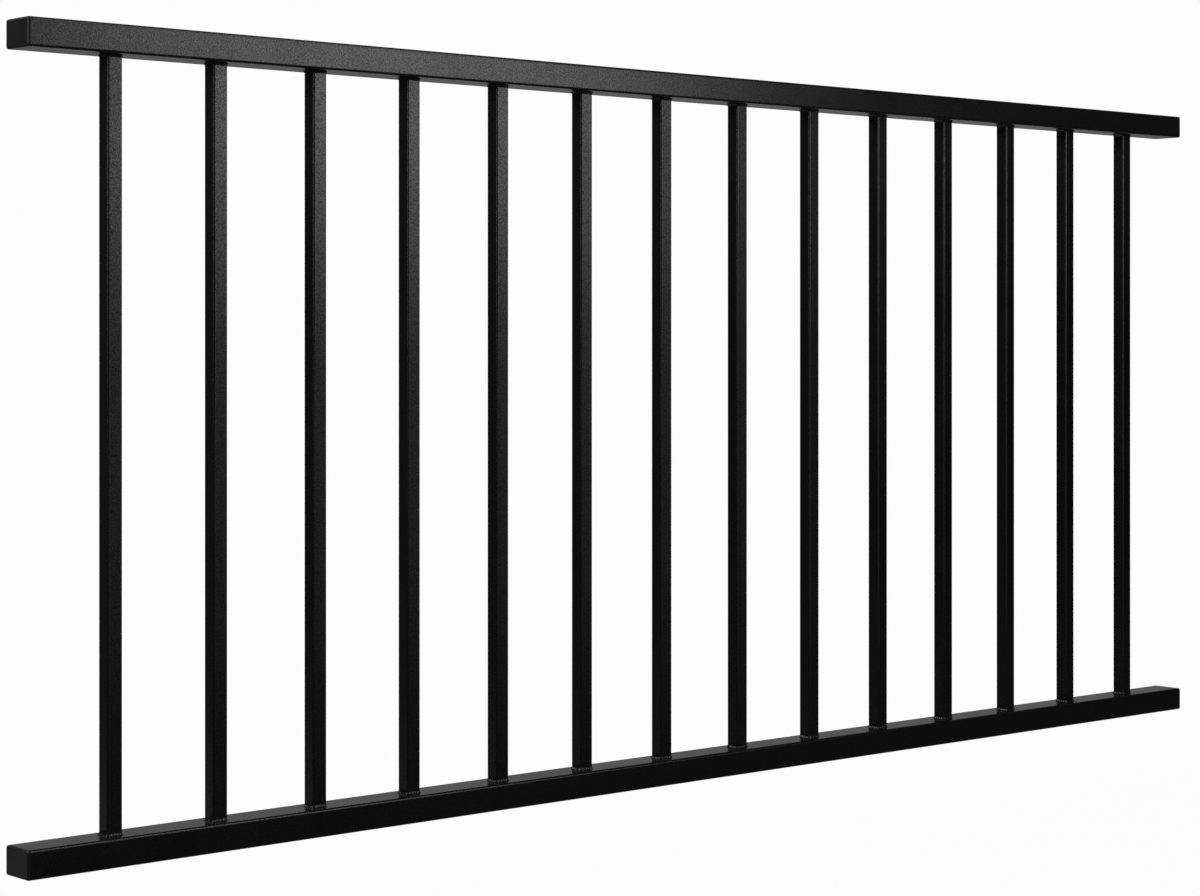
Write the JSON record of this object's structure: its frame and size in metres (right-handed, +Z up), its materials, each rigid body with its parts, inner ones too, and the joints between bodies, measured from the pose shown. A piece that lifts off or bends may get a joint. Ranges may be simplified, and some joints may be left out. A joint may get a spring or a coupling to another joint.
{
  "type": "deck railing section",
  "caption": "Black welded steel railing panel: a top and a bottom rail of flat rectangular tube, joined by a row of slim square balusters, with capped ends that sit in post brackets.",
  "frame": {"origin": "the middle of the bottom rail's left end face, where the panel is held", "axes": "X along the rails from the left end to the right, Y from the front to the back, Z up"},
  "size_m": [1.674, 0.04, 0.765],
  "materials": {
    "powder_coat": "black satin powder coat with a fine grain over welded steel tube",
    "end_cap": "smooth black moulded plastic"
  },
  "bodies": {
    "root": {"bottom_rail": "powder_coat", "top_rail": "powder_coat", "baluster_01": "powder_coat", "baluster_02": "powder_coat", "baluster_03": "powder_coat", "baluster_04": "powder_coat", "baluster_05": "powder_coat", "baluster_06": "powder_coat", "baluster_07": "powder_coat", "baluster_08": "powder_coat", "baluster_09": "powder_coat", "baluster_10": "powder_coat", "baluster_11": "powder_coat", "baluster_12": "powder_coat", "baluster_13": "powder_coat", "baluster_14": "powder_coat", "bottom_rail_welds": "powder_coat", "top_rail_welds": "powder_coat", "bottom_rail_left_cap": "end_cap", "bottom_rail_right_cap": "end_cap", "top_rail_left_cap": "end_cap", "top_rail_right_cap": "end_cap"}
  },
  "joints": []
}
